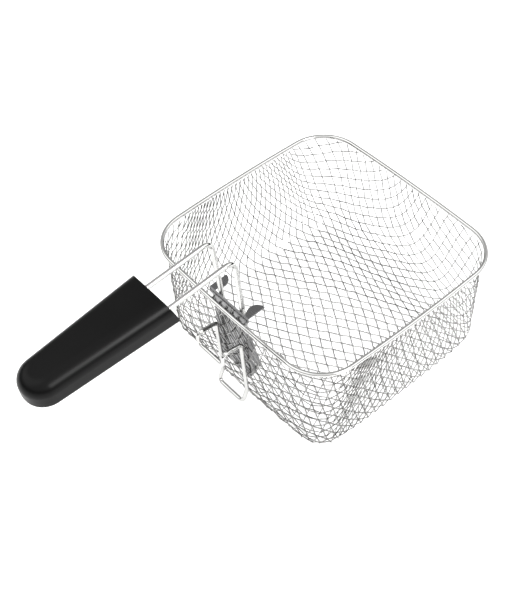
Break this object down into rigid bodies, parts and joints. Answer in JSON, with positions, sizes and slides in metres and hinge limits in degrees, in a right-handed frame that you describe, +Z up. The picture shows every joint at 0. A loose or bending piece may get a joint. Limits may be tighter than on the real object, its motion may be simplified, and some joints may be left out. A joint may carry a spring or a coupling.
{
  "type": "deep fryer basket",
  "caption": "Square woven-wire fryer basket with a round wire rim, an outside drain hook and a wire handle with a moulded grip that folds into the basket.",
  "frame": {"origin": "centre of the basket's underside", "axes": "+Z up out of the basket's mouth, handle towards -X, Y across the handle"},
  "size_m": [0.3739, 0.211, 0.1774],
  "materials": {
    "mesh_steel": "bright woven stainless wire",
    "frame_steel": "polished drawn wire",
    "bracket_steel": "bright rolled sheet, stamped",
    "grip_plastic": "fine matt moulding",
    "screw_steel": "zinc plated"
  },
  "bodies": {
    "basket": {"mesh_basket": "mesh_steel", "rim_wire": "frame_steel", "handle_bracket": "bracket_steel", "drain_hook": "frame_steel"},
    "handle": {"handle_wire": "frame_steel", "grip_top_shell": "grip_plastic", "grip_bottom_shell": "grip_plastic", "grip_screws": "screw_steel"}
  },
  "joints": [
    {"name": "handle_fold", "type": "hinge", "parent": "basket", "child": "handle", "pos_m": [-0.0878, 0, 0.04129], "axis": [0, 1, 0], "range_deg": [0, 110]}
  ]
}
